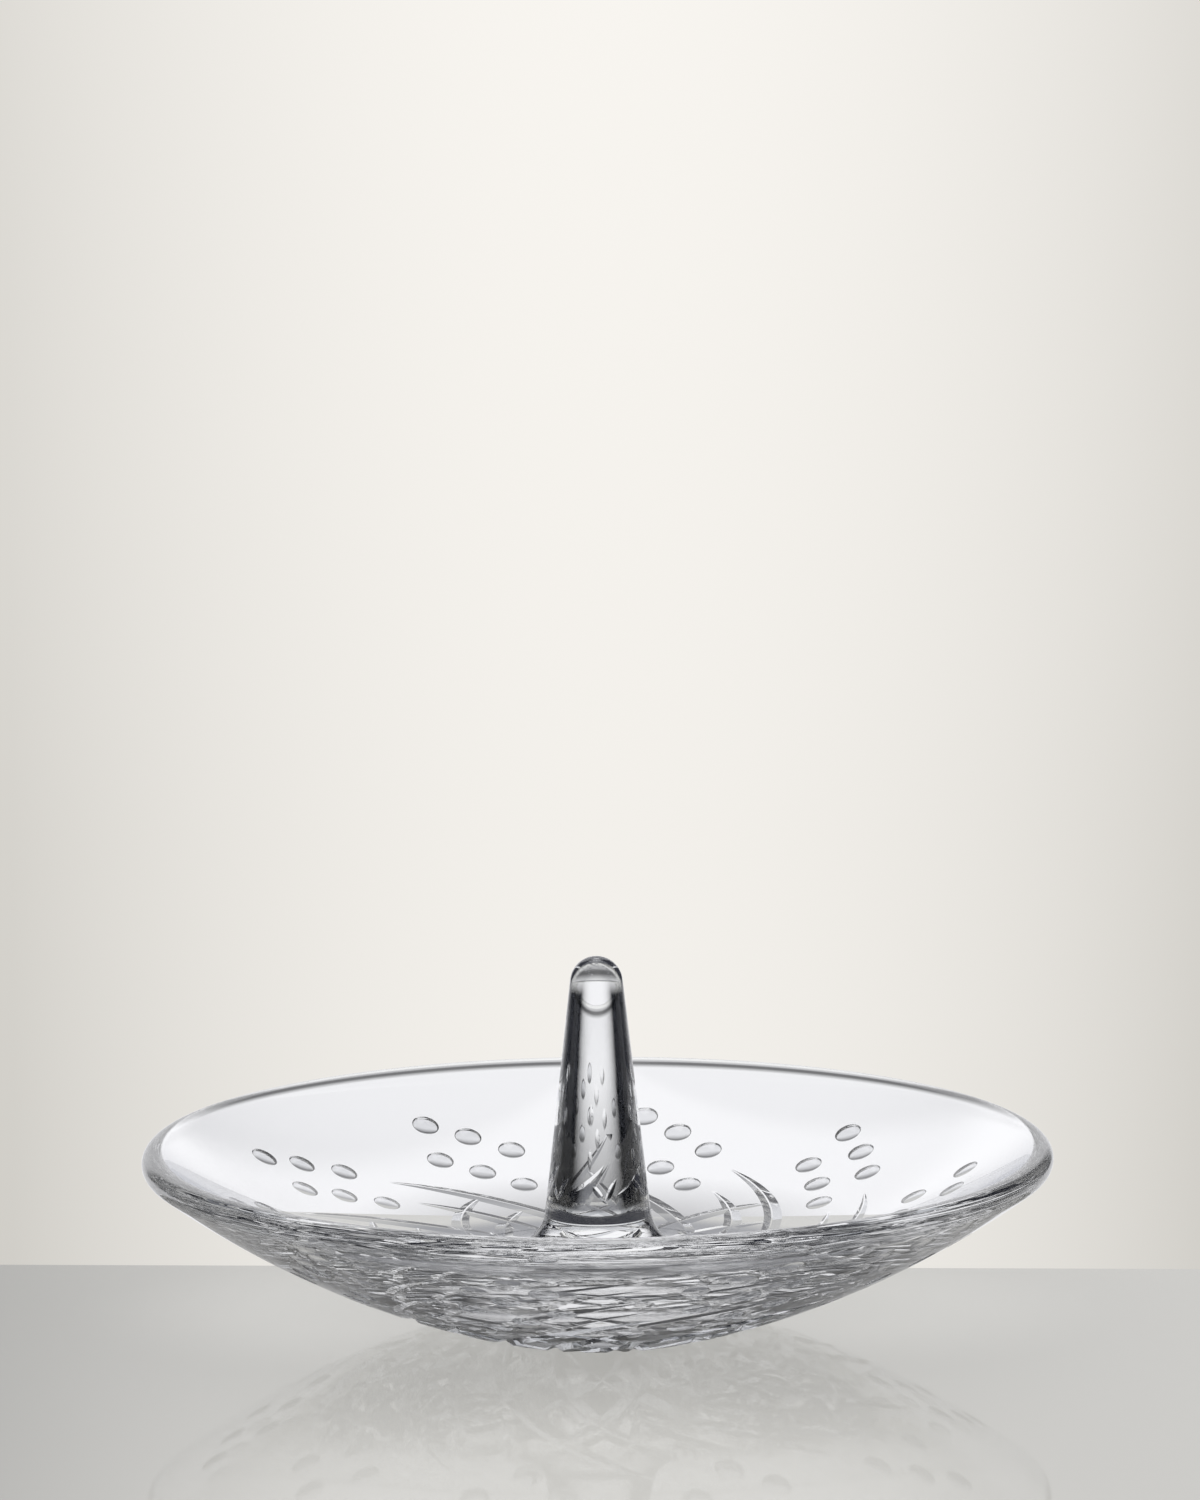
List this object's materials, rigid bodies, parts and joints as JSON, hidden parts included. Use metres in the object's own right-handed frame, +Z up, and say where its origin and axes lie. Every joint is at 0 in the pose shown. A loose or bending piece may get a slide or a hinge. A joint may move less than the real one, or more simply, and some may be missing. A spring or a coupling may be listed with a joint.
{
  "type": "ring dish",
  "caption": "Shallow round dish of clear cut crystal with a tapered upright post in the middle for finger rings, swirling cuts on its underside and a flat foot.",
  "frame": {"origin": "centre of the foot's flat underside, on the surface that the dish stands on", "axes": "+Z up along the post and the bowl's axis, -Y towards the front of the picture, +X to its right"},
  "size_m": [0.16, 0.16, 0.0657],
  "materials": {
    "dish_crystal": "clear polished crystal, polished cuts on the underside",
    "post_crystal": "clear polished crystal, small polished cuts",
    "clear_bond": "clear cured adhesive"
  },
  "bodies": {
    "root": {"dish": "dish_crystal", "bond_film": "clear_bond", "ring_post": "post_crystal"}
  },
  "joints": []
}
